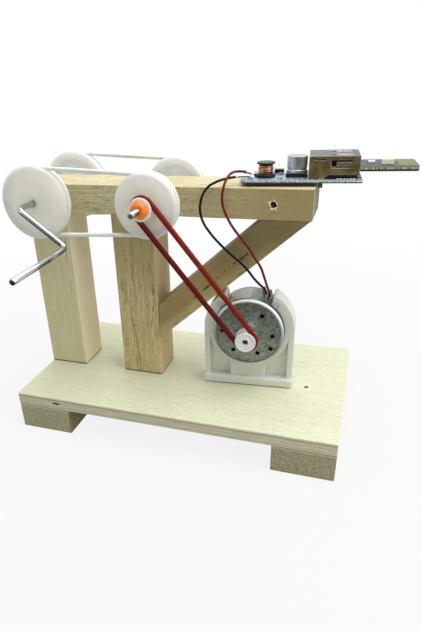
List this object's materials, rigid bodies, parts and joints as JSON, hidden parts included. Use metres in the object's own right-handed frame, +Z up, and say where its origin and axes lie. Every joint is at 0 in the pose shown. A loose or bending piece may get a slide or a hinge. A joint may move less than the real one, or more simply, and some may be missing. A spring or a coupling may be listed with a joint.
{
  "type": "hand crank generator",
  "caption": "Wooden bench-top hand crank generator with two belt stages, a small DC motor, a converter board and a plug-in lamp stick.",
  "frame": {"origin": "the middle of the whole seen from above, at table height", "axes": "+X along the bench to the lamp end, -Y to the crank handle, +Z up"},
  "size_m": [0.1319, 0.0874, 0.0939],
  "materials": {
    "pine_wood": "smooth_matte",
    "plywood": "smooth_matte",
    "foot_wood": "smooth_matte",
    "wheel_nylon": "satin",
    "white_band": "satin",
    "red_band": "satin",
    "steel_rod": "polished",
    "pulley_plastic": "satin",
    "orange_plastic": "gloss",
    "bracket_plastic": "satin",
    "motor_steel": "satin",
    "label_film": "satin",
    "bush_bronze": "satin",
    "magnet_ferrite": "matte",
    "cap_plastic": "satin",
    "solder": "satin",
    "copper": "satin",
    "core_steel": "satin",
    "board_laminate": "gloss",
    "tape_foam": "matte",
    "tape_paper": "matte",
    "socket_steel": "polished",
    "black_plastic": "satin",
    "gold_plate": "polished",
    "ferrite": "matte",
    "capacitor_alu": "satin",
    "chip_ceramic": "matte",
    "red_insulation": "satin",
    "black_insulation": "satin",
    "stick_laminate": "gloss",
    "led_phosphor": "satin",
    "stick_trim": "satin"
  },
  "bodies": {
    "frame": {"base_board": "plywood", "foot_left": "foot_wood", "foot_right": "foot_wood", "post_left": "pine_wood", "post_right": "pine_wood", "top_beam": "pine_wood", "diagonal_brace": "pine_wood", "front_belt": "white_band", "rear_belt": "white_band", "drive_belt": "red_band", "motor_bracket": "bracket_plastic", "bracket_tape": "tape_paper", "motor_can": "motor_steel", "motor_label": "label_film", "motor_front_bush": "bush_bronze", "motor_magnet": "magnet_ferrite", "motor_end_cap": "cap_plastic", "motor_rear_bush": "bush_bronze", "motor_terminals": "solder", "motor_brushes": "copper", "circuit_board": "board_laminate", "board_tape": "tape_foam", "usb_shell": "socket_steel", "usb_tongue": "black_plastic", "usb_contacts": "gold_plate", "inductor_core": "ferrite", "inductor_winding": "copper", "capacitor_can": "capacitor_alu", "capacitor_base": "black_plastic", "boost_chip": "black_plastic", "diode": "black_plastic", "chip_parts": "chip_ceramic", "solder_joints": "solder", "red_wire": "red_insulation", "black_wire": "black_insulation"},
    "crank": {"crank_rod": "steel_rod", "crank_wheel_front": "wheel_nylon", "crank_wheel_rear": "wheel_nylon"},
    "drive": {"drive_axle": "steel_rod", "driven_wheel_front": "wheel_nylon", "driven_wheel_rear": "wheel_nylon", "drive_pulley": "pulley_plastic", "stop_collar": "orange_plastic"},
    "rotor": {"motor_shaft": "steel_rod", "rotor_core": "core_steel", "rotor_windings": "copper", "commutator": "copper", "motor_pulley": "pulley_plastic"},
    "lamp_stick": {"stick_board": "stick_laminate", "stick_led": "led_phosphor", "stick_contacts": "gold_plate", "stick_parts": "stick_trim"}
  },
  "joints": [
    {"name": "crank_spin", "type": "hinge", "parent": "frame", "child": "crank", "pos_m": [-0.05357, 0.0141, 0.0807], "axis": [0, -1, 0], "continuous": true},
    {"name": "drive_spin", "type": "hinge", "parent": "frame", "child": "drive", "pos_m": [-0.01307, 0.0141, 0.0807], "axis": [0, -1, 0], "continuous": true},
    {"name": "rotor_spin", "type": "hinge", "parent": "frame", "child": "rotor", "pos_m": [0.01928, 0.0045, 0.03685], "axis": [0.0872, -0.9962, 0], "continuous": true},
    {"name": "stick_slide", "type": "slide", "parent": "frame", "child": "lamp_stick", "axis": [0.9945, 0.1045, 0], "range_m": [0, 0.0115]}
  ],
  "couplings": [
    {"joint": "drive_spin", "follows": "crank_spin", "ratio": 1.19},
    {"joint": "rotor_spin", "follows": "crank_spin", "ratio": 1.19}
  ]
}
